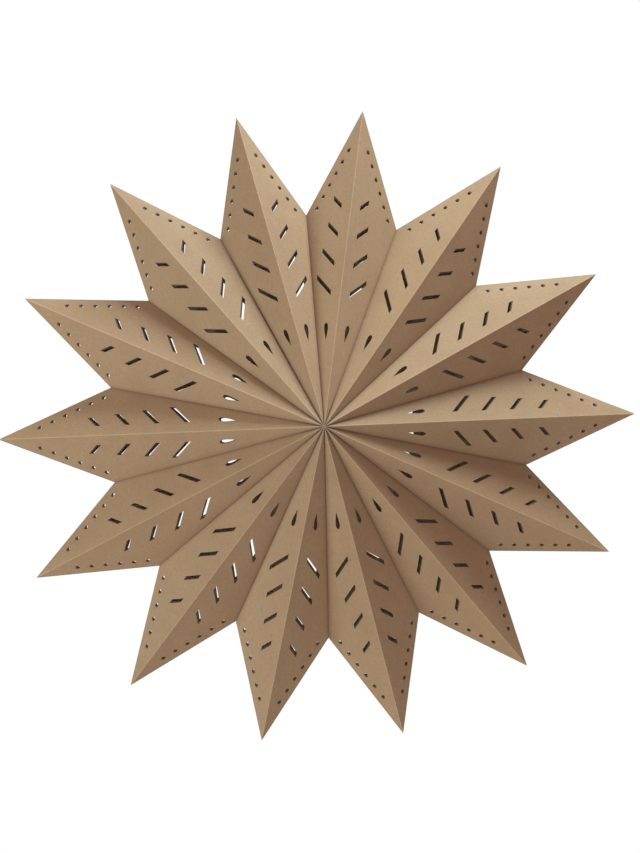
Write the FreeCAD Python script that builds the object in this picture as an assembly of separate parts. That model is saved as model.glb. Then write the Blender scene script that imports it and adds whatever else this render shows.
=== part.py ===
"""Folded card star: hollow perforated points, glued side by side round one axis.

Each point is one blank of kraft card, folded into four panels that close at the tip.
The front and back panels mirror each other, and each panel carries a row of slanted
slots beside the ridge, a drop-shaped cut near the centre and a row of small dots
along its outer edge. Tabs folded inwards along both valleys glue a point to the next.

Frame: origin at the star's centre, +Z up, the front facing -Y. A notch is at the top.
"""

import FreeCAD, Part
import functools
import math
import os

# The star, in millimetres and degrees
POINT_COUNT = 14
TIP_RADIUS = 300.0
NOTCH_RADIUS = 199.0
APEX_HEIGHT = 75.0  # from the middle plane to the front apex, and to the back one
CARD_THICKNESS = 0.5
TAB_DEPTH = 7.5

# Points that lean towards the one before them, as in a star glued by hand
TIP_LEAN_DEG = {2: 2.8, 3: 1.4, 4: 0.8}

# Slots: one row beside the ridge, like the side veins of a leaf
SLOT_COUNT = 4
SLOT_START = 127.4  # from the apex to the first slot, along the ridge
SLOT_TIP_MARGIN = 96.0  # from the last slot to the tip, along the ridge
SLOT_RIDGE_MARGIN = 10.0
SLOT_SLANT_DEG = 45.0
SLOT_WIDTH = 2.5
SLOT_FIRST_REACH = 16.3  # across the panel, from the slot's inner end to its outer end
SLOT_LAST_REACH = 8.7

# Drop-shaped cut, on the line that halves the panel's corner at the apex
DROP_START = 81.4  # from the apex to the drop's sharp end
DROP_LENGTH = 17.7
DROP_WIDTH = 3.9
DROP_SHOULDER = 12.4  # from the sharp end to the widest place
DROP_END_WIDTH = 1.9

# Dots: small three-cornered pricks in a row along the outer edge
DOT_COUNT = 6
DOT_TIP_MARGIN = 39.6
DOT_NOTCH_MARGIN = 9.8
DOT_EDGE_MARGIN = 7.6
DOT_LENGTH = 3.7
DOT_WIDTH = 2.8

HALF_STEP_DEG = 180.0 / POINT_COUNT
CUT_CLEARANCE = 2.0  # how far a cutting body reaches past the card it cuts

Vector = FreeCAD.Vector
MID_PLANE = (Vector(0, 0, 1), 0.0)


def polar(radius, angle_deg):
    """A place in the star's middle plane, in a point's own frame."""
    angle = math.radians(angle_deg)
    return Vector(radius * math.cos(angle), radius * math.sin(angle), 0)


def plane_through(first, second, third):
    """The plane through three places, as its unit normal and its distance from the origin."""
    normal = (second - first).cross(third - first).normalize()
    return normal, normal.dot(first)


def pushed_in(plane, depth):
    """The plane moved against its normal by a depth."""
    return plane[0], plane[1] - depth


def meet(one, two, three):
    """The place where three planes cross."""
    (n1, d1), (n2, d2), (n3, d3) = one, two, three
    total = n2.cross(n3) * d1 + n3.cross(n1) * d2 + n1.cross(n2) * d3
    return total / n1.dot(n2.cross(n3))


def flat_face(corners):
    """A flat face inside a closed line through the corners."""
    return Part.Face(Part.makePolygon(corners + corners[:1]))


def closed_solid(faces):
    """A solid inside flat faces that close on each other."""
    return Part.Solid(Part.makeShell([flat_face(corners) for corners in faces]))


class FoldedPoint:
    """One point of the star in its own frame: +X to the tip, +Z to the front."""

    def __init__(self, left_deg, right_deg):
        """Takes the angles from the tip to the notch on its left and on its right."""
        self.tip = Vector(TIP_RADIUS, 0, 0)
        self.notches = (polar(NOTCH_RADIUS, left_deg), polar(NOTCH_RADIUS, -right_deg))
        front = Vector(0, 0, APEX_HEIGHT)
        left, right = self.notches
        self.left_panel = plane_through(self.tip, left, front)
        self.right_panel = plane_through(self.tip, front, right)
        self.sides = (
            plane_through(Vector(0, 0, 0), front, left),
            plane_through(Vector(0, 0, 0), right, front),
        )

    def inside_panels(self, depth, back_end):
        """The space between the four panels, each pushed in by a depth, back to x = back_end."""
        front_left = pushed_in(self.left_panel, depth)
        front_right = pushed_in(self.right_panel, depth)
        end_plane = (Vector(1, 0, 0), back_end)
        tip = meet(front_left, front_right, MID_PLANE)
        left = meet(front_left, MID_PLANE, end_plane)
        right = meet(front_right, MID_PLANE, end_plane)
        front = meet(front_left, front_right, end_plane)
        back = Vector(front.x, front.y, -front.z)
        return closed_solid(
            [
                [tip, left, front],
                [tip, front, right],
                [tip, back, left],
                [tip, right, back],
                [front, left, back, right],
            ]
        )

    def between_sides(self, depth):
        """The space between the two planes where neighbours meet, each pushed in by a depth."""
        left_side, right_side = (pushed_in(side, depth) for side in self.sides)
        end_plane = (Vector(1, 0, 0), TIP_RADIUS + CUT_CLEARANCE)
        corners = [
            meet(left_side, right_side, MID_PLANE),
            meet(right_side, end_plane, MID_PLANE),
            meet(left_side, end_plane, MID_PLANE),
        ]
        reach = APEX_HEIGHT + CUT_CLEARANCE
        low_corners = [corner - Vector(0, 0, reach) for corner in corners]
        return flat_face(low_corners).extrude(Vector(0, 0, 2 * reach))

    def wedge(self, panel_depth, side_depth):
        """The point's own wedge of space, smaller on each side by the depths."""
        back_end = -APEX_HEIGHT
        panels = self.inside_panels(panel_depth, back_end)
        return panels.common(self.between_sides(side_depth))

    def folded_card(self):
        """The folded blank: four panels, and a tab along each valley."""
        panel_normal, side_normal = self.left_panel[0], self.sides[0][0]
        tab_depth = TAB_DEPTH * panel_normal.cross(side_normal).Length
        card = self.wedge(0, 0).cut(self.wedge(CARD_THICKNESS, CARD_THICKNESS))
        return card.cut(self.wedge(tab_depth, -CUT_CLEARANCE))

    def build(self):
        """The folded card with every cut-out in its four panels."""
        cutters = []
        for notch in self.notches:
            for apex_height in (APEX_HEIGHT, -APEX_HEIGHT):
                panel = Panel(Vector(0, 0, apex_height), self.tip, notch)
                cutters += [panel.cutter(outline) for outline in panel.outlines()]
        return self.folded_card().cut(Part.makeCompound(cutters))


class Panel:
    """One flat panel: u runs from the apex along the ridge, v from the ridge to the notch."""

    def __init__(self, apex, tip, notch):
        self.apex = apex
        self.along = (tip - apex).normalize()
        self.ridge = (tip - apex).Length
        beside = (notch - apex) - self.along * (notch - apex).dot(self.along)
        self.across = beside.normalize()
        self.normal = self.along.cross(self.across)
        self.notch_u = (notch - apex).dot(self.along)
        self.notch_v = (notch - apex).dot(self.across)

    def place(self, u, v):
        """A place on the panel's outer face."""
        return self.apex + self.along * u + self.across * v

    def cutter(self, outline):
        """A prism through the card, square to the panel, from an outline of (u, v) corners."""
        reach = CARD_THICKNESS + CUT_CLEARANCE
        corners = [self.place(u, v) - self.normal * reach for u, v in outline]
        return flat_face(corners).extrude(self.normal * 2 * reach)

    def outlines(self):
        """The outline of every cut-out in the panel."""
        return self.slots() + [self.drop()] + self.dots()

    def slots(self):
        """Slots that slant outwards from the ridge and get shorter towards the tip."""
        slant = math.radians(SLOT_SLANT_DEG)
        half_width = SLOT_WIDTH / math.sin(slant) / 2
        steps = SLOT_COUNT - 1
        pitch = (self.ridge - SLOT_START - SLOT_TIP_MARGIN) / steps
        shorter = (SLOT_FIRST_REACH - SLOT_LAST_REACH) / steps
        outlines = []
        for step in range(SLOT_COUNT):
            inner_u = SLOT_START + pitch * step
            reach = SLOT_FIRST_REACH - shorter * step
            outer_u = inner_u + reach / math.tan(slant)
            outer_v = SLOT_RIDGE_MARGIN + reach
            outlines.append(
                [
                    (inner_u - half_width, SLOT_RIDGE_MARGIN),
                    (inner_u + half_width, SLOT_RIDGE_MARGIN),
                    (outer_u + half_width, outer_v),
                    (outer_u - half_width, outer_v),
                ]
            )
        return outlines

    def drop(self):
        """A drop with its sharp end towards the apex."""
        half_angle = math.atan2(self.notch_v, self.notch_u) / 2
        cosine, sine = math.cos(half_angle), math.sin(half_angle)
        half_sides = [
            (0.0, 0.0),
            (DROP_SHOULDER, DROP_WIDTH / 2),
            (DROP_LENGTH, DROP_END_WIDTH / 2),
            (DROP_LENGTH, -DROP_END_WIDTH / 2),
            (DROP_SHOULDER, -DROP_WIDTH / 2),
        ]
        outline = []
        for length, side in half_sides:
            far = DROP_START + length
            outline.append((far * cosine - side * sine, far * sine + side * cosine))
        return outline

    def dots(self):
        """Dots in a row from the tip to the notch, inside the outer edge."""
        edge_u, edge_v = self.notch_u - self.ridge, self.notch_v
        edge = math.hypot(edge_u, edge_v)
        edge_u, edge_v = edge_u / edge, edge_v / edge
        in_u, in_v = -edge_v, edge_u
        pitch = (edge - DOT_TIP_MARGIN - DOT_NOTCH_MARGIN) / (DOT_COUNT - 1)
        corners = [
            (-DOT_LENGTH / 2, 0.0),
            (DOT_LENGTH / 2, DOT_WIDTH / 2),
            (DOT_LENGTH / 2, -DOT_WIDTH / 2),
        ]
        outlines = []
        for step in range(DOT_COUNT):
            from_tip = DOT_TIP_MARGIN + pitch * step
            outlines.append(
                [
                    (
                        self.ridge + edge_u * (from_tip + far) + in_u * (DOT_EDGE_MARGIN + deep),
                        edge_v * (from_tip + far) + in_v * (DOT_EDGE_MARGIN + deep),
                    )
                    for far, deep in corners
                ]
            )
        return outlines


@functools.lru_cache(maxsize=None)
def folded_point(left_deg, right_deg):
    """The folded point for a pair of notch angles, built once for all that share them."""
    return FoldedPoint(left_deg, right_deg).build()


def lean(number):
    """How far a point's tip leans, counting round past the last point to the first."""
    return TIP_LEAN_DEG.get((number - 1) % POINT_COUNT + 1, 0.0)


def star_placement(azimuth_deg):
    """Turns a point's own frame into the star's: its +X to the azimuth, its +Z to -Y."""
    turn = FreeCAD.Rotation(Vector(0, 0, 1), azimuth_deg)
    stand_up = FreeCAD.Rotation(Vector(1, 0, 0), 90)
    return FreeCAD.Placement(Vector(0, 0, 0), stand_up.multiply(turn))


def build_star():
    """Every point of the star, numbered clockwise from the one left of the top notch."""
    points = {}
    for number in range(1, POINT_COUNT + 1):
        even_azimuth = 90 + HALF_STEP_DEG * (3 - 2 * number)
        own, before, after = lean(number), lean(number - 1), lean(number + 1)
        left_deg = round(HALF_STEP_DEG + (before - own) / 2, 6)
        right_deg = round(HALF_STEP_DEG + (own - after) / 2, 6)
        shape = folded_point(left_deg, right_deg).copy()
        shape.Placement = star_placement(even_azimuth + own)
        points[f"point_{number:02d}"] = shape
    return points


def main():
    os.makedirs("parts", exist_ok=True)
    for name, shape in build_star().items():
        shape.exportStep(f"parts/{name}.step")
        print(name, "solids", len(shape.Solids), "volume", round(shape.Volume, 1))


main()
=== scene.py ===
"""Looks of a folded card star: fourteen hollow, perforated points glued side by side.

Each point is grown by one Geometry Nodes tree from the sizes of its blank: four panels
with their cut-outs, folded along the ridges and the outline, and the glue tabs along the
valleys. The kraft card, the studio and the camera have classes of their own.
"""

import logging
import math
from dataclasses import dataclass, fields
from enum import Enum
from typing import Any

import bmesh
import bpy
from mathutils import Matrix, Vector


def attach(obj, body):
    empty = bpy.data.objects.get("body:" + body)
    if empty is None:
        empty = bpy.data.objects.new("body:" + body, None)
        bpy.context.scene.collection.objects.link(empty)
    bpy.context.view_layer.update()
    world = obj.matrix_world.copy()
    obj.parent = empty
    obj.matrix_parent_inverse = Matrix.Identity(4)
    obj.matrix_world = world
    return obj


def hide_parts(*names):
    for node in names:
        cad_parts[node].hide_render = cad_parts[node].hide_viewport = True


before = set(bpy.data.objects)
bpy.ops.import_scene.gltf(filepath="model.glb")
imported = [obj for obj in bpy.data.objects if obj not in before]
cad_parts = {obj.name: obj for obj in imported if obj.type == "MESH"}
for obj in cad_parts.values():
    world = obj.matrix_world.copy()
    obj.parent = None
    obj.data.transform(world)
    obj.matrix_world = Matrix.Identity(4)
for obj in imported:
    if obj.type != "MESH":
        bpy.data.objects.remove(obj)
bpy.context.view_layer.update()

logging.basicConfig(level=logging.INFO, format="%(message)s")
log = logging.getLogger("star")

MM = 0.001  # metres in a millimetre

MATH = "ShaderNodeMath"
VECTOR = "ShaderNodeVectorMath"
COMBINE = "ShaderNodeCombineXYZ"
SEPARATE = "ShaderNodeSeparateXYZ"
TURN = "ShaderNodeVectorRotate"
NOISE = "ShaderNodeTexNoise"
SPREAD = "ShaderNodeMapRange"
BLEND = "ShaderNodeMix"
RING = "GeometryNodeMeshCircle"
COPIES = "GeometryNodeInstanceOnPoints"
REALIZE = "GeometryNodeRealizeInstances"
JOIN = "GeometryNodeJoinGeometry"
PLACE = "GeometryNodeSetPosition"
STORE = "GeometryNodeStoreNamedAttribute"
GROUP = "GeometryNodeGroup"

Tree = bpy.types.NodeTree
Node = bpy.types.Node


def add_node(tree: Tree, kind: str, links: dict | list | None = None, **settings: Any) -> Node:
    """Adds a node with its settings and links.

    Args:
        tree: The tree that takes the node.
        kind: The node's type.
        links: What each input takes, by its name or number, or in order: a value, a
            socket, a node (its first output in use), or a list of them for one input.
        settings: The node's own properties.

    Returns:
        The new node.
    """
    node = tree.nodes.new(kind)
    for name, value in settings.items():
        setattr(node, name, value)
    pairs = enumerate(links) if isinstance(links, list) else (links or {}).items()
    for key, given in pairs:
        for source in given if isinstance(given, list) else [given]:
            if isinstance(source, bpy.types.Node):
                source = next(output for output in source.outputs if output.enabled)
            if isinstance(source, bpy.types.NodeSocket):
                tree.links.new(source, node.inputs[key])
            elif source is not None:
                node.inputs[key].default_value = source
    return node


def linear_colour(hex_code: str) -> tuple[float, float, float, float]:
    """Turns an sRGB hex value into a linear colour.

    Args:
        hex_code: Six hex digits, as in "C8A882".

    Returns:
        Red, green, blue and an alpha of 1, linear.
    """
    channels = [int(hex_code[start : start + 2], 16) / 255 for start in (0, 2, 4)]
    red, green, blue = (
        value / 12.92 if value <= 0.04045 else ((value + 0.055) / 1.055) ** 2.4
        for value in channels
    )
    return red, green, blue, 1.0


class Entry(Enum):
    """The kinds of socket at the edge of this script's trees."""

    NUMBER = "NodeSocketFloat"
    COUNT = "NodeSocketInt"
    PLACE = "NodeSocketVector"
    SHAPE = "NodeSocketGeometry"
    FINISH = "NodeSocketMaterial"


def start_tree(name: str, takes: dict[str, Entry], gives: Entry) -> tuple[Tree, dict, Node]:
    """Starts a Geometry Nodes tree with named inputs and one output.

    Args:
        name: The tree's name.
        takes: The kind of each named input.
        gives: The kind of the output.

    Returns:
        The tree, its input sockets by name and its output node.
    """
    tree = bpy.data.node_groups.new(name, "GeometryNodeTree")
    for label, kind in takes.items():
        tree.interface.new_socket(name=label, in_out="INPUT", socket_type=kind.value)
    tree.interface.new_socket(name="Result", in_out="OUTPUT", socket_type=gives.value)
    entry = tree.nodes.new("NodeGroupInput")
    result = tree.nodes.new("NodeGroupOutput")
    return tree, {label: entry.outputs[label] for label in takes}, result


class Sizes:
    """Sizes in millimetres or degrees that become a tree's named inputs."""

    @classmethod
    def entries(cls) -> dict[str, Entry]:
        """The kind of input that each size needs, by name."""
        kinds = {int: Entry.COUNT, float: Entry.NUMBER}
        return {item.name: kinds[item.type] for item in fields(cls)}

    def values(self) -> dict[str, float | int]:
        """Each size in metres or radians, and each count, by name."""
        values = {}
        for item in fields(self):
            size = getattr(self, item.name)
            if item.name.endswith("_deg"):
                size = math.radians(size)
            elif item.type is float:
                size *= MM
            values[item.name] = size
        return values


@dataclass(frozen=True)
class CutSizes(Sizes):
    """The cut-outs of one panel, wider than in the CAD model, as the photograph shows them."""

    slot_count: int = 4
    slot_start: float = 127.4
    slot_tip_margin: float = 96.0
    slot_ridge_margin: float = 10.0
    slot_width: float = 3.4
    slot_slant_deg: float = 45.0
    slot_first_reach: float = 16.3
    slot_last_reach: float = 8.7
    drop_start: float = 81.4
    drop_length: float = 17.7
    drop_width: float = 4.0
    dot_count: int = 6
    dot_tip_margin: float = 39.6
    dot_notch_margin: float = 9.8
    dot_edge_margin: float = 7.6
    dot_length: float = 4.2
    dot_width: float = 3.5


@dataclass(frozen=True)
class CardSizes(Sizes):
    """What every point of the star shares: its radii, its card and how the card gives."""

    tip_radius: float = 300.0
    notch_radius: float = 199.0
    apex_height: float = 75.0
    card_thickness: float = 0.5
    tab_depth: float = 7.5
    hub_drop: float = 1.2
    bow: float = 1.1
    cockle: float = 0.35


@dataclass(frozen=True)
class PointSizes(Sizes):
    """What sets one point apart: its corners' angles and how its seams gape."""

    left_deg: float
    right_deg: float
    left_gape: float
    right_gape: float
    seed: int


class FlatPanelTree:
    """Draws one flat panel: a three-cornered border round slots, a drop and dots.

    The apex is at the origin, the ridge runs along +X and the notch lies at +Y.
    """

    border_cuts = 20
    slot_corners = 4
    # Of a slot's corners 0 to 3, the last two lie further out and the middle two tipwards
    middle_corner = 1.5
    middle_reach = 0.6
    drop_corners = 20
    dot_corners = 10
    drop_peak = 0.6495  # the largest value of sin(a) * (1 - cos(a)) / 2

    def __init__(self) -> None:
        """Builds the tree."""
        takes = dict.fromkeys(("ridge", "notch_u", "notch_v"), Entry.NUMBER) | CutSizes.entries()
        self.tree, self.size, result = start_tree("Flat panel", takes, Entry.SHAPE)
        self.index = self.tree.nodes.new("GeometryNodeInputIndex")
        self.tip = add_node(self.tree, COMBINE, [self.size["ridge"]])
        self.notch = add_node(self.tree, COMBINE, [self.size["notch_u"], self.size["notch_v"]])
        cuts = add_node(self.tree, JOIN, [[self.slots(), self.drop(), self.dots()]])
        cut_lines = add_node(self.tree, "GeometryNodeMeshToCurve", [cuts])
        lines = add_node(self.tree, JOIN, [[self.border(), cut_lines]])
        panel = add_node(self.tree, "GeometryNodeFillCurve", {"Curve": lines}, mode="TRIANGLES")
        self.tree.links.new(panel.outputs[0], result.inputs[0])

    def border(self) -> Node:
        """The panel's outline, its three edges divided evenly."""
        tree = self.tree
        corner = add_node(tree, "GeometryNodeIndexSwitch", data_type="VECTOR")
        corner.index_switch_items.new()
        for number, source in enumerate((self.index, None, self.tip, self.notch)):
            if source:
                tree.links.new(source.outputs[0], corner.inputs[number])
        ring = add_node(tree, RING, [3], fill_type="NONE")
        placed = add_node(tree, PLACE, {0: ring, "Position": corner})
        line = add_node(tree, "GeometryNodeMeshToCurve", [placed])
        return add_node(tree, "GeometryNodeSubdivideCurve", {0: line, "Cuts": self.border_cuts})

    def slots(self) -> Node:
        """Slots that slant outwards from the ridge and get shorter towards the tip."""
        tree, size = self.tree, self.size
        ring = add_node(tree, RING, [self.slot_corners], fill_type="NONE")
        spots = add_node(tree, "GeometryNodePoints", [size["slot_count"]])
        copies = add_node(tree, COPIES, {"Points": spots, "Instance": ring})
        corners = add_node(tree, REALIZE, [copies])
        share = add_node(tree, MATH, [self.index, self.slot_corners], operation="DIVIDE")
        number = add_node(tree, MATH, [share], operation="FLOOR")
        corner = add_node(tree, MATH, [self.index, self.slot_corners], operation="MODULO")
        is_outer = add_node(tree, MATH, [corner, self.middle_corner], operation="GREATER_THAN")
        middle = [corner, self.middle_corner, self.middle_reach]
        is_tipward = add_node(tree, MATH, middle, operation="COMPARE")
        gaps = add_node(tree, MATH, [size["slot_count"], 1.0], operation="SUBTRACT")
        share = add_node(tree, MATH, [number, gaps], operation="DIVIDE")
        lengths = [size["ridge"], size["slot_tip_margin"]]
        row_end = add_node(tree, MATH, lengths, operation="SUBTRACT")
        row = add_node(tree, MATH, [row_end, size["slot_start"]], operation="SUBTRACT")
        inner_u = add_node(tree, MATH, [share, row, size["slot_start"]], operation="MULTIPLY_ADD")
        reaches = [size["slot_last_reach"], size["slot_first_reach"]]
        shorter = add_node(tree, MATH, reaches, operation="SUBTRACT")
        reach = add_node(tree, MATH, [share, shorter, reaches[1]], operation="MULTIPLY_ADD")
        across = add_node(tree, MATH, [is_outer, reach], operation="MULTIPLY")
        side = add_node(tree, MATH, [is_tipward, 0.5], operation="SUBTRACT")
        sine = add_node(tree, MATH, [size["slot_slant_deg"]], operation="SINE")
        tangent = add_node(tree, MATH, [size["slot_slant_deg"]], operation="TANGENT")
        width = add_node(tree, MATH, [size["slot_width"], sine], operation="DIVIDE")
        start_u = add_node(tree, MATH, [side, width, inner_u], operation="MULTIPLY_ADD")
        run = add_node(tree, MATH, [across, tangent], operation="DIVIDE")
        u = add_node(tree, MATH, [start_u, run], operation="ADD")
        v = add_node(tree, MATH, [across, size["slot_ridge_margin"]], operation="ADD")
        place = add_node(tree, COMBINE, [u, v])
        return add_node(tree, PLACE, {0: corners, "Position": place})

    def drop(self) -> Node:
        """A drop on the line that halves the apex corner, its sharp end at the apex."""
        tree, size = self.tree, self.size
        ring = add_node(tree, RING, [self.drop_corners], fill_type="NONE")
        step = math.tau / self.drop_corners
        angle = add_node(tree, MATH, [self.index, step], operation="MULTIPLY")
        sine = add_node(tree, MATH, [angle], operation="SINE")
        cosine = add_node(tree, MATH, [angle], operation="COSINE")
        share = add_node(tree, MATH, [cosine, -0.5, 0.5], operation="MULTIPLY_ADD")
        lengths = [share, size["drop_length"], size["drop_start"]]
        along = add_node(tree, MATH, lengths, operation="MULTIPLY_ADD")
        fullness = add_node(tree, MATH, [sine, share], operation="MULTIPLY")
        half_over_peak = 0.5 / self.drop_peak
        scale = add_node(tree, MATH, [size["drop_width"], half_over_peak], operation="MULTIPLY")
        across = add_node(tree, MATH, [fullness, scale], operation="MULTIPLY")
        corner = add_node(tree, MATH, [size["notch_v"], size["notch_u"]], operation="ARCTAN2")
        halved = add_node(tree, MATH, [corner, 0.5], operation="MULTIPLY")
        flat = add_node(tree, COMBINE, [along, across])
        given = {"Vector": flat, "Angle": halved}
        turned = add_node(tree, TURN, given, rotation_type="Z_AXIS")
        return add_node(tree, PLACE, {0: ring, "Position": turned})

    def dots(self) -> Node:
        """Small oval dots in a row from the tip to the notch, inside the outline."""
        tree, size = self.tree, self.size
        edge = add_node(tree, VECTOR, [self.notch, self.tip], operation="SUBTRACT")
        length = add_node(tree, VECTOR, [edge], operation="LENGTH")
        heading = add_node(tree, VECTOR, [edge], operation="NORMALIZE")
        parts = add_node(tree, SEPARATE, [heading])
        turned_back = add_node(tree, MATH, [parts.outputs[1], -1.0], operation="MULTIPLY")
        inward = add_node(tree, COMBINE, [turned_back, parts.outputs[0]])
        gaps = add_node(tree, MATH, [size["dot_count"], 1.0], operation="SUBTRACT")
        share = add_node(tree, MATH, [self.index, gaps], operation="DIVIDE")
        row_end = add_node(tree, MATH, [length, size["dot_notch_margin"]], operation="SUBTRACT")
        row = add_node(tree, MATH, [row_end, size["dot_tip_margin"]], operation="SUBTRACT")
        lengths = [share, row, size["dot_tip_margin"]]
        from_tip = add_node(tree, MATH, lengths, operation="MULTIPLY_ADD")
        on_edge = add_node(tree, VECTOR, [heading, from_tip, self.tip], operation="MULTIPLY_ADD")
        deeper = [inward, size["dot_edge_margin"], on_edge]
        place = add_node(tree, VECTOR, deeper, operation="MULTIPLY_ADD")
        spots = add_node(tree, "GeometryNodePoints", [size["dot_count"], place])
        angle = add_node(tree, MATH, [parts.outputs[1], parts.outputs[0]], operation="ARCTAN2")
        turn = add_node(tree, COMBINE, {2: angle})
        oval = add_node(tree, COMBINE, [size["dot_length"], size["dot_width"], 1.0])
        ring = add_node(tree, RING, [self.dot_corners, 0.5], fill_type="NONE")
        given = {"Points": spots, "Instance": ring, "Rotation": turn, "Scale": oval}
        return add_node(tree, REALIZE, [add_node(tree, COPIES, given)])


class PlanesMeetTree:
    """Works out where three planes cross, each given by its unit normal and distance."""

    def __init__(self) -> None:
        """Builds the tree."""
        takes = dict.fromkeys(("normal 1", "normal 2", "normal 3"), Entry.PLACE)
        takes |= dict.fromkeys(("distance 1", "distance 2", "distance 3"), Entry.NUMBER)
        self.tree, given, result = start_tree("Where three planes meet", takes, Entry.PLACE)
        tree = self.tree
        normals = [given["normal 1"], given["normal 2"], given["normal 3"]]
        crossed = [
            add_node(tree, VECTOR, [normals[first], normals[second]], operation="CROSS_PRODUCT")
            for first, second in ((1, 2), (2, 0), (0, 1))
        ]
        total = (0.0, 0.0, 0.0)
        for number, product in enumerate(crossed, start=1):
            parts = [product, given[f"distance {number}"], total]
            total = add_node(tree, VECTOR, parts, operation="MULTIPLY_ADD")
        spread = add_node(tree, VECTOR, [normals[0], crossed[0]], operation="DOT_PRODUCT")
        place = add_node(tree, VECTOR, [total, spread], operation="DIVIDE")
        tree.links.new(place.outputs[0], result.inputs[0])


class Corner:
    """The corners and planes round one panel of a point, as nodes of a tree.

    The point's own frame has +X to the tip and +Z to the front. The panel's notch is
    on the side that the sign "across" gives, and its apex on the face that "front" gives.
    """

    def __init__(self, tree: Tree, size: dict) -> None:
        """Adds the nodes for the apex, the tip, the notch and the plane through the seam."""
        height = [size["apex_height"], size["front"]]
        apex_z = add_node(tree, MATH, height, operation="MULTIPLY")
        self.apex = add_node(tree, COMBINE, {2: apex_z})
        signed = [size["own_angle"], size["across"]]
        angle = add_node(tree, MATH, signed, operation="MULTIPLY")
        radius = add_node(tree, COMBINE, [size["notch_radius"]])
        turned = {"Vector": radius, "Angle": angle}
        self.notch = add_node(tree, TURN, turned, rotation_type="Z_AXIS")
        outward = add_node(tree, COMBINE, {1: size["across"]})
        turned = {"Vector": outward, "Angle": angle}
        self.seam_normal = add_node(tree, TURN, turned, rotation_type="Z_AXIS")
        self.valley = add_node(tree, VECTOR, [self.notch, self.apex], operation="SUBTRACT")
        self.hand = add_node(tree, MATH, [size["across"], size["front"]], operation="MULTIPLY")


PANEL_ENTRIES = CardSizes.entries() | {
    "own_angle": Entry.NUMBER,
    "other_angle": Entry.NUMBER,
    "across": Entry.NUMBER,
    "front": Entry.NUMBER,
    "seed": Entry.COUNT,
}


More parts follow.
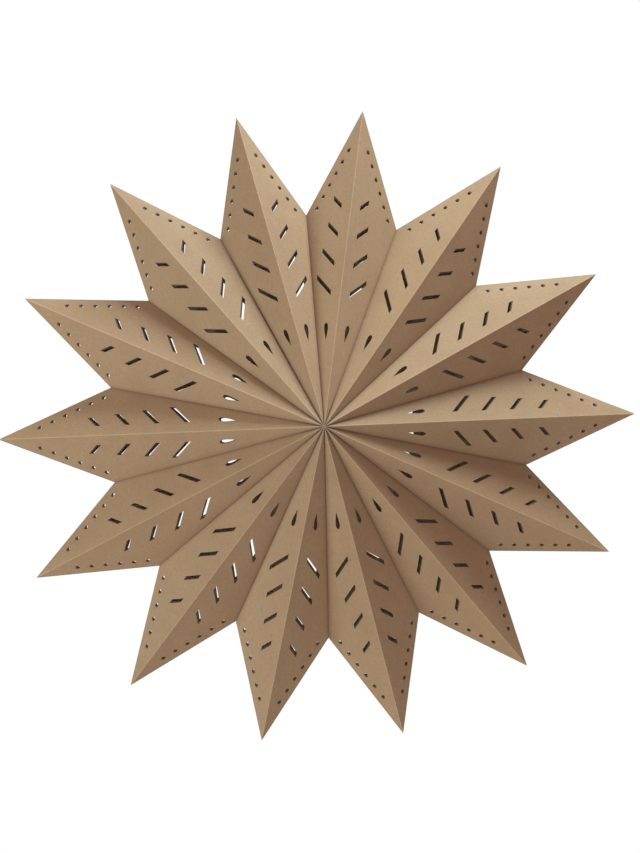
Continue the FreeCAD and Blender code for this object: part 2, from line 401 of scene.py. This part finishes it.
class FoldedPanelTree:
    """Gives a flat panel the card's thickness and folds it into its place."""

    levels = 2
    bow_peak = 64.0  # 1 over the largest value of notch share ** 2 * tip share * apex share
    middle_peak = 27.0  # 1 over the largest value of the three shares' product
    bow_spread = (0.6, 1.4)
    cockle_per_metre = 14.0
    cockle_detail = 1.0
    merge_distance = 1e-6

    def __init__(self, flat_panel: Tree, planes_meet: Tree) -> None:
        """Builds the tree from the trees of the flat panel and of the meeting planes."""
        takes = PANEL_ENTRIES | CutSizes.entries()
        self.tree, self.size, result = start_tree("Folded panel", takes, Entry.SHAPE)
        self.planes_meet = planes_meet
        self.corner = Corner(self.tree, self.size)
        self.find_outer_face()
        self.find_inner_corners()
        flat = self.lay_out(flat_panel)
        self.find_shares()
        shape = self.fold(self.thicken(self.mark_folds(flat)))
        self.tree.links.new(shape.outputs[0], result.inputs[0])

    def find_outer_face(self) -> None:
        """Works out the ridge line, the panel's size when flat and both normals."""
        tree, size, corner = self.tree, self.size, self.corner
        self.tip = add_node(tree, COMBINE, [size["tip_radius"]])
        self.ridge = add_node(tree, VECTOR, [self.tip, corner.apex], operation="SUBTRACT")
        self.ridge_length = add_node(tree, VECTOR, [self.ridge], operation="LENGTH")
        along = add_node(tree, VECTOR, [self.ridge], operation="NORMALIZE")
        self.notch_u = add_node(tree, VECTOR, [corner.valley, along], operation="DOT_PRODUCT")
        beside = add_node(tree, VECTOR, [along, corner.valley], operation="CROSS_PRODUCT")
        self.notch_v = add_node(tree, VECTOR, [beside], operation="LENGTH")
        outward = self.square_to(corner.valley)
        self.normal = add_node(tree, VECTOR, [outward], operation="NORMALIZE")
        angle = add_node(tree, MATH, [size["other_angle"], size["across"]], operation="MULTIPLY")
        angle = add_node(tree, MATH, [angle, -1.0], operation="MULTIPLY")
        radius = add_node(tree, COMBINE, [size["notch_radius"]])
        turned = {"Vector": radius, "Angle": angle}
        other_notch = add_node(tree, TURN, turned, rotation_type="Z_AXIS")
        other_valley = add_node(tree, VECTOR, [other_notch, corner.apex], operation="SUBTRACT")
        inward = self.square_to(other_valley)
        flipped = add_node(tree, VECTOR, [inward, (-1.0,) * 3], operation="MULTIPLY")
        self.other_normal = add_node(tree, VECTOR, [flipped], operation="NORMALIZE")

    def square_to(self, valley: Node) -> Node:
        """A direction square to the ridge and a valley, outwards on this panel's hand."""
        crossed = add_node(self.tree, VECTOR, [self.ridge, valley], operation="CROSS_PRODUCT")
        return add_node(self.tree, VECTOR, [crossed, self.corner.hand], operation="MULTIPLY")

    def find_inner_corners(self) -> None:
        """Works out the mitred corners of the panel's inner face, where planes meet."""
        middle = (0.0, 0.0, 1.0), 0.0
        seam = self.corner.seam_normal, 0.0
        own, other = self.inside(self.normal), self.inside(self.other_normal)
        corners = []
        for planes in ((own, other, seam), (own, other, middle), (own, middle, seam)):
            links = {}
            for number, (normal, distance) in enumerate(planes, start=1):
                links |= {f"normal {number}": normal, f"distance {number}": distance}
            corners.append(add_node(self.tree, GROUP, links, node_tree=self.planes_meet))
        self.inner_apex, self.inner_tip, self.inner_notch = corners

    def inside(self, normal: Node) -> tuple[Node, Node]:
        """The plane of a panel's inner face, from its outer face's normal."""
        apex, thickness = self.corner.apex, self.size["card_thickness"]
        outer = add_node(self.tree, VECTOR, [normal, apex], operation="DOT_PRODUCT")
        return normal, add_node(self.tree, MATH, [outer, thickness], operation="SUBTRACT")

    def lay_out(self, flat_panel: Tree) -> Node:
        """The flat panel with its cut-outs, its faces divided."""
        links = {name: self.size[name] for name in CutSizes.entries()}
        links |= {"ridge": self.ridge_length, "notch_u": self.notch_u, "notch_v": self.notch_v}
        flat = add_node(self.tree, GROUP, links, node_tree=flat_panel)
        return add_node(self.tree, "GeometryNodeSubdivideMesh", [flat, self.levels])

    def find_shares(self) -> None:
        """Works out how near a place on the panel is to each corner, as shares of one."""
        tree = self.tree
        position = tree.nodes.new("GeometryNodeInputPosition")
        parts = add_node(tree, SEPARATE, [position])
        u, self.v, self.level = parts.outputs
        self.notch_share = add_node(tree, MATH, [self.v, self.notch_v], operation="DIVIDE")
        at_notch = add_node(tree, MATH, [self.notch_share, self.notch_u], operation="MULTIPLY")
        rest = add_node(tree, MATH, [u, at_notch], operation="SUBTRACT")
        self.tip_share = add_node(tree, MATH, [rest, self.ridge_length], operation="DIVIDE")
        both = add_node(tree, MATH, [self.notch_share, self.tip_share], operation="ADD")
        self.apex_share = add_node(tree, MATH, [1.0, both], operation="SUBTRACT")

    def mark_folds(self, shape: Node) -> Node:
        """Stores each place's distance from the ridge, the valley and the outline."""
        tree = self.tree
        doubled = add_node(tree, MATH, [self.ridge_length, self.notch_v], operation="MULTIPLY")
        outline = add_node(tree, VECTOR, [self.corner.notch, self.tip], operation="DISTANCE")
        valley = add_node(tree, VECTOR, [self.corner.valley], operation="LENGTH")
        marks = {"ridge_mm": (self.notch_share, self.ridge_length)}
        marks |= {"valley_mm": (self.tip_share, valley), "outline_mm": (self.apex_share, outline)}
        for name, (share, edge) in marks.items():
            depth = add_node(tree, MATH, [doubled, edge], operation="DIVIDE")
            distance = add_node(tree, MATH, [share, depth], operation="MULTIPLY")
            distance = add_node(tree, MATH, [distance, 1 / MM], operation="MULTIPLY")
            shape = add_node(tree, STORE, {0: shape, "Name": name, "Value": distance})
        return shape

    def thicken(self, flat: Node) -> Node:
        """A shell one unit high on the flat panel, open where the next panel joins it."""
        tree = self.tree
        raised = {0: flat, "Offset": (0.0, 0.0, 1.0), "Offset Scale": 1.0, "Individual": False}
        top = add_node(tree, "GeometryNodeExtrudeMesh", raised, mode="FACES")
        walls = {0: top, "Selection": top.outputs["Side"], "Name": "cut", "Value": 1.0}
        top = add_node(tree, STORE, walls, domain="FACE")
        bottom = add_node(tree, "GeometryNodeFlipFaces", [flat])
        inner = {0: bottom, "Name": "inner", "Value": 1.0}
        bottom = add_node(tree, STORE, inner, domain="FACE")
        both = add_node(tree, JOIN, [[top, bottom]])
        merged = {0: both, "Distance": self.merge_distance}
        shell = add_node(tree, "GeometryNodeMergeByDistance", merged)
        for share in (self.notch_share, self.apex_share):
            on_fold = add_node(tree, MATH, [share, self.merge_distance], operation="LESS_THAN")
            links = {0: shell, "Selection": on_fold}
            shell = add_node(tree, "GeometryNodeDeleteGeometry", links, domain="FACE")
        return shell

    def on_face(self, apex: Node, tip: Node, notch: Node) -> Node:
        """A place's spot on the face between three corners, by its shares."""
        tree, spot = self.tree, apex
        for corner, share in ((tip, self.tip_share), (notch, self.notch_share)):
            line = add_node(tree, VECTOR, [corner, apex], operation="SUBTRACT")
            spot = add_node(tree, VECTOR, [line, share, spot], operation="MULTIPLY_ADD")
        return spot

    def give(self, spot: Node) -> Node:
        """How far the card bows out and cockles at a spot, along the panel's normal."""
        tree, size = self.tree, self.size
        rows = [self.notch_share, self.tip_share, self.apex_share]
        middle = add_node(tree, MATH, rows[:2], operation="MULTIPLY")
        middle = add_node(tree, MATH, [middle, rows[2]], operation="MULTIPLY")
        valleyward = add_node(tree, MATH, [middle, self.notch_share], operation="MULTIPLY")
        low, high = self.bow_spread
        links = {"Min": low, "Max": high, "ID": size["seed"], "Seed": size["seed"]}
        luck = add_node(tree, "FunctionNodeRandomValue", links, data_type="FLOAT")
        bow = add_node(tree, MATH, [size["bow"], luck.outputs[1]], operation="MULTIPLY")
        bow = add_node(tree, MATH, [bow, self.bow_peak], operation="MULTIPLY")
        bow = add_node(tree, MATH, [bow, valleyward], operation="MULTIPLY")
        links = {"Vector": spot, "W": size["seed"], "Scale": self.cockle_per_metre}
        links |= {"Detail": self.cockle_detail}
        noise = add_node(tree, NOISE, links, noise_dimensions="4D")
        wave = add_node(tree, MATH, [noise, 2.0, -1.0], operation="MULTIPLY_ADD")
        wave = add_node(tree, MATH, [wave, size["cockle"]], operation="MULTIPLY")
        wave = add_node(tree, MATH, [wave, self.middle_peak], operation="MULTIPLY")
        return add_node(tree, MATH, [wave, middle, bow], operation="MULTIPLY_ADD")

    def fold(self, shell: Node) -> Node:
        """The shell in its place, blunt where the points meet at the hub."""
        tree, size = self.tree, self.size
        outer = self.on_face(self.corner.apex, self.tip, self.corner.notch)
        inner = self.on_face(self.inner_apex, self.inner_tip, self.inner_notch)
        depth = add_node(tree, VECTOR, [outer, inner], operation="SUBTRACT")
        spot = add_node(tree, VECTOR, [depth, self.level, inner], operation="MULTIPLY_ADD")
        links = [self.normal, self.give(outer), spot]
        spot = add_node(tree, VECTOR, links, operation="MULTIPLY_ADD")
        parts = add_node(tree, SEPARATE, [spot])
        height = add_node(tree, MATH, [parts.outputs[2], size["front"]], operation="MULTIPLY")
        hub = add_node(tree, MATH, [size["apex_height"], size["hub_drop"]], operation="SUBTRACT")
        hub = add_node(tree, MATH, [hub, size["card_thickness"]], operation="SUBTRACT")
        links = [self.level, size["card_thickness"], hub]
        hub = add_node(tree, MATH, links, operation="MULTIPLY_ADD")
        height = add_node(tree, MATH, [height, hub], operation="MINIMUM")
        height = add_node(tree, MATH, [height, size["front"]], operation="MULTIPLY")
        spot = add_node(tree, COMBINE, [parts.outputs[0], parts.outputs[1], height])
        return add_node(tree, PLACE, {0: shell, "Position": spot})


class GlueTabTree:
    """Makes the tab along one valley, folded flat against the next point's tab."""

    hub_margin = 6.0 * MM
    far_from_folds = 99.0

    def __init__(self) -> None:
        """Builds the tree."""
        self.tree, size, result = start_tree("Glue tab", PANEL_ENTRIES, Entry.SHAPE)
        tree = self.tree
        corner = Corner(tree, size)
        along = add_node(tree, VECTOR, [corner.valley], operation="NORMALIZE")
        length = add_node(tree, VECTOR, [corner.valley], operation="LENGTH")
        down = add_node(tree, VECTOR, [corner.seam_normal, along], operation="CROSS_PRODUCT")
        down = add_node(tree, VECTOR, [down, corner.hand], operation="MULTIPLY")
        block = add_node(tree, "GeometryNodeMeshCube")
        position = tree.nodes.new("GeometryNodeInputPosition")
        shares = add_node(tree, VECTOR, [position, (0.5,) * 3], operation="ADD")
        parts = add_node(tree, SEPARATE, [shares])
        depth = [parts.outputs[1], size["tab_depth"], size["card_thickness"]]
        depth = add_node(tree, MATH, depth, operation="MULTIPLY_ADD")
        steepness = [size["notch_radius"], size["apex_height"]]
        run = add_node(tree, MATH, steepness, operation="DIVIDE")
        shorter = add_node(tree, MATH, [depth, run], operation="MULTIPLY")
        free = add_node(tree, MATH, [length, shorter], operation="SUBTRACT")
        free = add_node(tree, MATH, [free, self.hub_margin], operation="SUBTRACT")
        reach = [parts.outputs[0], free, self.hub_margin]
        reach = add_node(tree, MATH, reach, operation="MULTIPLY_ADD")
        inset = [parts.outputs[2], size["card_thickness"]]
        inset = add_node(tree, MATH, inset, operation="MULTIPLY")
        inset = add_node(tree, MATH, [inset, -1.0], operation="MULTIPLY")
        spot = corner.apex
        for heading, distance in ((along, reach), (down, depth), (corner.seam_normal, inset)):
            spot = add_node(tree, VECTOR, [heading, distance, spot], operation="MULTIPLY_ADD")
        tab = add_node(tree, PLACE, {0: block, "Position": spot})
        for name in ("ridge_mm", "valley_mm", "outline_mm"):
            tab = add_node(tree, STORE, {0: tab, "Name": name, "Value": self.far_from_folds})
        tree.links.new(tab.outputs[0], result.inputs[0])


class PanelSide(Enum):
    """A point's four panels, as the signs of their sideways and frontward directions."""

    FRONT_LEFT = (1.0, 1.0)
    FRONT_RIGHT = (-1.0, 1.0)
    BACK_LEFT = (1.0, -1.0)
    BACK_RIGHT = (-1.0, -1.0)


class FoldedPointTree:
    """Folds one point of the star from its four panels and four glue tabs."""

    merge_distance = 0.01 * MM
    sharp_angle = math.radians(20.0)
    gape_depth = 14.0 * MM
    gape_start = (4.0 * MM, 26.0 * MM)
    gape_end = (60.0 * MM, 190.0 * MM)

    def __init__(self) -> None:
        """Builds the tree and the trees that it uses."""
        takes = CardSizes.entries() | PointSizes.entries() | CutSizes.entries()
        takes |= {"card": Entry.FINISH}
        self.tree, self.size, result = start_tree("Folded point", takes, Entry.SHAPE)
        panel = FoldedPanelTree(FlatPanelTree().tree, PlanesMeetTree().tree).tree
        tab = GlueTabTree().tree
        parts = [self.part(panel, number, side) for number, side in enumerate(PanelSide)]
        parts += [self.part(tab, number, side) for number, side in enumerate(PanelSide)]
        tree = self.tree
        point = add_node(tree, JOIN, [parts])
        merged = {0: point, "Distance": self.merge_distance}
        point = add_node(tree, "GeometryNodeMergeByDistance", merged)
        point = self.gape(self.gape(point, 1.0, "left"), -1.0, "right")
        point = self.shade(point)
        point = add_node(tree, REALIZE, [point])
        given = {0: point, "Material": self.size["card"]}
        point = add_node(tree, "GeometryNodeSetMaterial", given)
        tree.links.new(point.outputs[0], result.inputs[0])

    def part(self, tree: Tree, number: int, side: PanelSide) -> Node:
        """One panel or tab of the point."""
        across, front = side.value
        hands = ("left_deg", "right_deg") if across > 0 else ("right_deg", "left_deg")
        seed = add_node(self.tree, MATH, [self.size["seed"], float(number)], operation="ADD")
        node = add_node(self.tree, GROUP, node_tree=tree)
        given = {name: self.size[name] for name in CardSizes.entries() | CutSizes.entries()}
        given |= {"own_angle": self.size[hands[0]], "other_angle": self.size[hands[1]]}
        given |= {"seed": seed.outputs[0]}
        for entry in node.inputs:
            if entry.name in given:
                self.tree.links.new(given[entry.name], entry)
        node.inputs["across"].default_value = across
        node.inputs["front"].default_value = front
        return node

    def gape(self, point: Node, across: float, hand: str) -> Node:
        """Draws the card in from a seam that isn't quite closed."""
        tree, size = self.tree, self.size
        angle = add_node(tree, MATH, [size[f"{hand}_deg"], across], operation="MULTIPLY")
        turned = {"Vector": (0.0, across, 0.0), "Angle": angle}
        normal = add_node(tree, TURN, turned, rotation_type="Z_AXIS")
        turned = {"Vector": (1.0, 0.0, 0.0), "Angle": angle}
        heading = add_node(tree, TURN, turned, rotation_type="Z_AXIS")
        position = tree.nodes.new("GeometryNodeInputPosition")
        outside = add_node(tree, VECTOR, [position, normal], operation="DOT_PRODUCT")
        out = add_node(tree, VECTOR, [position, heading], operation="DOT_PRODUCT")
        given = {0: outside, "From Min": -self.gape_depth, "From Max": 0.0}
        share = add_node(tree, SPREAD, given, interpolation_type="SMOOTHSTEP")
        given = {0: out, "From Min": self.gape_start[0], "From Max": self.gape_start[1]}
        rise = add_node(tree, SPREAD, given, interpolation_type="SMOOTHSTEP")
        given = {0: out, "From Min": self.gape_end[1], "From Max": self.gape_end[0]}
        fall = add_node(tree, SPREAD, given, interpolation_type="SMOOTHSTEP")
        share = add_node(tree, MATH, [share, rise], operation="MULTIPLY")
        share = add_node(tree, MATH, [share, fall], operation="MULTIPLY")
        share = add_node(tree, MATH, [share, size[f"{hand}_gape"]], operation="MULTIPLY")
        inward = add_node(tree, MATH, [share, -1.0], operation="MULTIPLY")
        offset = add_node(tree, VECTOR, [normal, inward], operation="MULTIPLY")
        return add_node(tree, PLACE, {0: point, "Offset": offset})

    def shade(self, point: Node) -> Node:
        """Smooth faces with crisp folds and cuts."""
        tree = self.tree
        smooth = "GeometryNodeSetShadeSmooth"
        point = add_node(tree, smooth, {0: point, "Shade Smooth": True})
        angle = tree.nodes.new("GeometryNodeInputMeshEdgeAngle")
        is_sharp = add_node(tree, MATH, [angle, self.sharp_angle], operation="GREATER_THAN")
        given = {0: point, "Selection": is_sharp, "Shade Smooth": False}
        return add_node(tree, smooth, given, domain="EDGE")


@dataclass(frozen=True)
class KraftCard:
    """Uncoated brown kraft card, machine made: matt, warm, flecked with short fibres.

    The ridge folds are drawn paler, partly cracked fibres and partly painted highlight, and the
    valleys and the outline fold are drawn darker, as painted shade.
    """

    base: str = "AC8F70"
    pale_fleck: str = "BBA081"
    dark_fleck: str = "9A7C5C"
    # Paler line on the ridge crease: partly cracked fibres, partly painted highlight
    crease: str = "D2BC9C"
    # Painted shade: the colour drawn into every valley
    valley: str = "6A4C38"
    # Painted shade: near black for the deep valleys near the hub
    hub_valley: str = "33231A"
    # Painted shade along the rounded outline fold
    edge: str = "7A5F49"
    # Painted light: the inner face is drawn paler than the outer one, so that the hollow isn't
    # black
    inner: str = "E2D4BE"
    # Cut walls drawn dark: partly a singed cut edge, partly painted shade of the hollow seen
    # through the slots
    cut: str = "4A3A2C"
    # A pixel of the picture is about 0.9 mm of card, so the flecks are coarser than fibres
    fleck_mm: float = 1.6
    fibre_length_mm: float = 5.0
    fleck_detail: float = 3.0
    cloud_mm: float = 28.0
    cloud_detail: float = 2.0
    # The part of each noise that shows, and how strongly it does
    pale_range: tuple[float, float] = (0.52, 0.7)
    pale_share: float = 0.55
    fibre_range: tuple[float, float] = (0.54, 0.72)
    fibre_share: float = 0.5
    cloud_range: tuple[float, float] = (0.4, 0.75)
    cloud_share: float = 0.3
    # Widths of the painted highlight on the ridge and of the painted shade in the valleys, near
    # the hub and along the outline; their strengths follow
    crease_mm: float = 0.75
    valley_mm: float = 0.9
    valley_soft_mm: float = 4.0
    hub_shade_mm: tuple[float, float] = (6.0, 36.0)
    edge_mm: float = 0.8
    valley_soft_share: float = 0.25
    valley_share: float = 0.4
    hub_share: float = 0.95
    edge_share: float = 0.6
    crease_share: float = 0.65
    roughness: float = 0.72
    relief_mm: float = 0.05
    relief_share: float = 0.5

    def build(self) -> bpy.types.Material:
        """Makes the material.

        Returns:
            The material, named for the card and how it was made.
        """
        card = bpy.data.materials.new("Kraft card, uncoated, creased")
        card.use_nodes = True
        tree = card.node_tree
        tree.nodes.clear()
        place = add_node(tree, "ShaderNodeTexCoord").outputs["Object"]
        fleck_links = {"Vector": place, "Scale": 1 / (self.fleck_mm * MM)}
        fleck_links |= {"Detail": self.fleck_detail}
        flecks = add_node(tree, NOISE, fleck_links)
        squeeze = (1.0, 1.0, self.fleck_mm / self.fibre_length_mm)
        fibre_place = add_node(tree, "ShaderNodeMapping", {0: place, "Scale": squeeze})
        fibres = add_node(tree, NOISE, fleck_links | {"Vector": fibre_place.outputs[0]})
        cloud_links = {"Vector": place, "Scale": 1 / (self.cloud_mm * MM)}
        cloud_links |= {"Detail": self.cloud_detail}
        clouds = add_node(tree, NOISE, cloud_links)
        colour = linear_colour(self.base)
        for noise, (low, high), hex_code, strength in (
            (flecks, self.pale_range, self.pale_fleck, self.pale_share),
            (fibres, self.fibre_range, self.dark_fleck, self.fibre_share),
            (clouds, self.cloud_range, self.dark_fleck, self.cloud_share),
        ):
            given = {0: noise, "From Min": low, "From Max": high, "To Max": strength}
            share = add_node(tree, SPREAD, given)
            layers = {0: share, 6: colour, 7: linear_colour(hex_code)}
            colour = add_node(tree, BLEND, layers, data_type="RGBA")
        flat = add_node(tree, VECTOR, [place, (1.0, 0.0, 1.0)], operation="MULTIPLY")
        out = add_node(tree, VECTOR, [flat], operation="LENGTH")
        # Painted shade in the valleys, strongest near the hub and fading outwards
        near, far = self.hub_shade_mm
        given = {0: out, "From Min": near * MM, "From Max": far * MM}
        given |= {"To Min": self.hub_share, "To Max": 0.0}
        hub_valley_shade_strength = add_node(tree, SPREAD, given, interpolation_type="SMOOTHSTEP")
        for name, width, hex_code, strength in (
            # Painted shade along every valley: a soft band and a thin dark line
            ("valley_mm", self.valley_soft_mm, self.valley, self.valley_soft_share),
            ("valley_mm", self.valley_mm, self.valley, self.valley_share),
            ("valley_mm", self.valley_mm, self.hub_valley, hub_valley_shade_strength),
            # Painted shade along the outline fold
            ("outline_mm", self.edge_mm, self.edge, self.edge_share),
            # Paler ridge crease: partly cracked fibres, partly painted highlight
            ("ridge_mm", self.crease_mm, self.crease, self.crease_share),
        ):
            distance = add_node(tree, "ShaderNodeAttribute", attribute_name=name)
            given = {0: distance.outputs["Fac"], "From Min": 0.0, "From Max": width}
            given |= {"To Min": strength, "To Max": 0.0}
            share = add_node(tree, SPREAD, given, interpolation_type="SMOOTHSTEP")
            layers = {0: share, 6: colour, 7: linear_colour(hex_code)}
            colour = add_node(tree, BLEND, layers, data_type="RGBA")
        # Painted light on the inner faces; the cut walls drawn dark, partly a singed cut edge and
        # partly painted shade
        for name, hex_code in (("inner", self.inner), ("cut", self.cut)):
            share = add_node(tree, "ShaderNodeAttribute", attribute_name=name).outputs["Fac"]
            layers = {0: share, 6: colour, 7: linear_colour(hex_code)}
            colour = add_node(tree, BLEND, layers, data_type="RGBA")
        relief = {"Height": flecks, "Distance": self.relief_mm * MM}
        relief |= {"Strength": self.relief_share}
        bump = add_node(tree, "ShaderNodeBump", relief)
        shader_links = {"Base Color": colour, "Roughness": self.roughness, "Normal": bump}
        shader = add_node(tree, "ShaderNodeBsdfPrincipled", shader_links)
        add_node(tree, "ShaderNodeOutputMaterial", [shader])
        return card


@dataclass(frozen=True)
class CardStar:
    """The fourteen folded points, numbered clockwise from the one left of the top notch."""

    card: bpy.types.Material
    point_count: int = 14
    # Tips that lean towards the point before them, in degrees, by number
    leans: tuple[tuple[int, float], ...] = ((2, 2.8), (3, 1.4), (4, 0.8))
    # Between the last point and the first, where the photograph's seam is the darkest
    closing_gape: float = 0.7
    seam_gape: float = 0.12
    first_seed: int = 20

    def lean(self, number: int) -> float:
        """How far a tip leans, counting round past the last point to the first."""
        return dict(self.leans).get((number - 1) % self.point_count + 1, 0.0)

    def point_sizes(self, number: int) -> PointSizes:
        """The sizes that set one point apart from the others."""
        half_step = 180.0 / self.point_count
        own, before, after = self.lean(number), self.lean(number - 1), self.lean(number + 1)
        return PointSizes(
            left_deg=half_step + (before - own) / 2,
            right_deg=half_step + (own - after) / 2,
            left_gape=self.closing_gape if number == 1 else self.seam_gape,
            right_gape=self.closing_gape if number == self.point_count else self.seam_gape,
            seed=self.first_seed + number * len(PanelSide),
        )

    def placement(self, number: int) -> Matrix:
        """Turns a point's own frame into the star's: +X to the tip and +Z to the front."""
        half_step = 180.0 / self.point_count
        azimuth = math.radians(90 + half_step * (3 - 2 * number) + self.lean(number))
        out = Vector((math.cos(azimuth), 0, math.sin(azimuth)))
        left = Vector((-math.sin(azimuth), 0, math.cos(azimuth)))
        return Matrix((out, left, out.cross(left))).transposed().to_4x4()

    def build(self) -> list[bpy.types.Object]:
        """Grows every point, sets it in its place and dresses it.

        Returns:
            The points' objects, in order.
        """
        tree = FoldedPointTree().tree
        points = []
        for number in range(1, self.point_count + 1):
            sizes = CardSizes().values() | CutSizes().values()
            sizes |= self.point_sizes(number).values()
            point = self.grow(tree, f"card_point_{number:02d}", sizes | {"card": self.card})
            point.data.transform(self.placement(number))
            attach(point, "root")
            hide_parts(f"point_{number:02d}")
            log.info("%s: %d faces", point.name, len(point.data.polygons))
            points.append(point)
        return points

    def grow(self, tree: Tree, name: str, inputs: dict[str, Any]) -> bpy.types.Object:
        """Turns a tree's result into an object with a plain mesh.

        Args:
            tree: The Geometry Nodes tree.
            name: The new object's name.
            inputs: The tree's inputs by name.

        Returns:
            The object, with no modifier left on it.
        """
        holder = bpy.data.objects.new(name, bpy.data.meshes.new(name))
        bpy.context.scene.collection.objects.link(holder)
        modifier = holder.modifiers.new("Fold", "NODES")
        modifier.node_group = tree
        for item in tree.interface.items_tree:
            if item.in_out == "INPUT":
                modifier[item.identifier] = inputs[item.name]
        evaluated = holder.evaluated_get(bpy.context.evaluated_depsgraph_get())
        grown = bpy.data.meshes.new_from_object(evaluated)
        holder.modifiers.remove(modifier)
        holder.data = grown
        grown.name = name
        return holder


@dataclass(frozen=True)
class Lamp:
    """A square soft box, aimed at the star's centre."""

    name: str
    place: tuple[float, float, float]
    side: float
    watts: float
    tint: tuple[float, float, float]

    def build(self) -> None:
        """Hangs the lamp."""
        light = bpy.data.lights.new(self.name, "AREA")
        light.size = self.side
        light.energy = self.watts
        light.color = self.tint
        lamp = bpy.data.objects.new(self.name, light)
        lamp.location = self.place
        lamp.rotation_euler = (-Vector(self.place)).to_track_quat("-Z", "Y").to_euler()
        bpy.context.scene.collection.objects.link(lamp)


@dataclass(frozen=True)
class Studio:
    """A white studio: soft boxes, a pale floor well below the star, a white surround.

    The lamps' places, powers and tints, and those of the surround, were fitted to the
    tones of the panels in the photograph. They aren't known from the real studio.
    """

    lamps: tuple[Lamp, ...] = (
        Lamp("key_top", (0.559, -0.146, 1.578), 0.5, 34.8, (0.92, 1.05, 1.02)),
        Lamp("fill_left", (-1.535, -0.683, -0.1), 0.5, 13.2, (0.93, 1.05, 1.0)),
    )
    surround_light: float = 0.235
    surround_tint: tuple[float, float, float, float] = (1.36, 0.96, 0.83, 1.0)
    floor_radius: float = 1.0
    floor_z: float = -0.75
    floor_sides: int = 96
    floor_white: str = "F4F2EE"
    # The share of the radius where the floor is paper, before it starts to fade
    floor_paper_share: float = 0.25

    def build(self) -> None:
        """Sets up the world, the floor and the lamps."""
        self.surround()
        self.floor()
        for lamp in self.lamps:
            lamp.build()

    def surround(self) -> None:
        """A world that is white to the eye and lights the star more softly."""
        world = bpy.data.worlds.new("Studio surround")
        bpy.context.scene.world = world
        world.use_nodes = True
        tree = world.node_tree
        tree.nodes.clear()
        path = add_node(tree, "ShaderNodeLightPath").outputs
        seen = path["Is Camera Ray"]
        for ray in ("Is Glossy Ray", "Is Transmission Ray"):
            seen = add_node(tree, MATH, [seen, path[ray]], operation="MAXIMUM")
        light = add_node(tree, "ShaderNodeBackground", {"Strength": self.surround_light})
        white = add_node(tree, "ShaderNodeBackground", {"Strength": 1.0})
        light.inputs["Color"].default_value = self.surround_tint
        white.inputs["Color"].default_value = (1.0, 1.0, 1.0, 1.0)
        mixed = add_node(tree, "ShaderNodeMixShader", [seen, light, white])
        add_node(tree, "ShaderNodeOutputWorld", [mixed])

    def floor(self) -> None:
        """A round pale floor that fades into the white round it."""
        shape = bmesh.new()
        bmesh.ops.create_circle(
            shape,
            cap_ends=True,
            segments=self.floor_sides,
            radius=self.floor_radius,
            matrix=Matrix.Translation((0, 0, self.floor_z)),
        )
        mesh = bpy.data.meshes.new("floor")
        shape.to_mesh(mesh)
        shape.free()
        mesh.materials.append(self.floor_paper())
        floor = bpy.data.objects.new("floor", mesh)
        bpy.context.scene.collection.objects.link(floor)

    def floor_paper(self) -> bpy.types.Material:
        """White seamless paper: a matt white that turns to plain white at its edge."""
        paper = bpy.data.materials.new("Seamless paper, matt white")
        paper.use_nodes = True
        tree = paper.node_tree
        tree.nodes.clear()
        place = add_node(tree, "ShaderNodeTexCoord").outputs["Object"]
        flat = add_node(tree, VECTOR, [place, (1.0, 1.0, 0.0)], operation="MULTIPLY")
        out = add_node(tree, VECTOR, [flat], operation="LENGTH")
        fade_start = self.floor_paper_share * self.floor_radius
        given = {0: out, "From Min": fade_start, "From Max": self.floor_radius}
        share = add_node(tree, SPREAD, given, interpolation_type="SMOOTHSTEP")
        matt = add_node(tree, "ShaderNodeBsdfDiffuse", {"Color": linear_colour(self.floor_white)})
        white = add_node(tree, "ShaderNodeEmission", {"Strength": 1.0})
        mixed = add_node(tree, "ShaderNodeMixShader", [share, matt, white])
        add_node(tree, "ShaderNodeOutputMaterial", [mixed])
        return paper


@dataclass(frozen=True)
class PhotoCamera:
    """The camera: a little left of the star's axis, level with its centre.

    It is fitted to the tips, notches and hub in the photograph, without lens shift. The
    hub and the front cut-outs stay a few pixels too far left.
    """

    place: tuple[float, float, float] = (-0.0696, -1.380, 0.003)
    roll_deg: float = 2.33
    focal_pixels: float = 1468.2
    picture_height: int = 853
    sensor_mm: float = 36.0

    def build(self) -> None:
        """Makes the camera, aims it at the star's centre and puts it in use."""
        lens = bpy.data.cameras.new("photo_camera")
        lens.sensor_fit = "AUTO"
        lens.sensor_width = self.sensor_mm
        lens.lens = self.focal_pixels * self.sensor_mm / self.picture_height
        camera = bpy.data.objects.new("photo_camera", lens)
        aim = (-Vector(self.place)).to_track_quat("-Z", "Y").to_matrix()
        roll = Matrix.Rotation(-math.radians(self.roll_deg), 3, "Z")
        camera.matrix_world = Matrix.Translation(self.place) @ (aim @ roll).to_4x4()
        bpy.context.scene.collection.objects.link(camera)
        bpy.context.scene.camera = camera


def main() -> None:
    """Builds the star, the studio and the camera in order."""
    bpy.context.scene.view_settings.view_transform = "Standard"
    CardStar(KraftCard().build()).build()
    Studio().build()
    PhotoCamera().build()


if __name__ == "__main__":
    main()
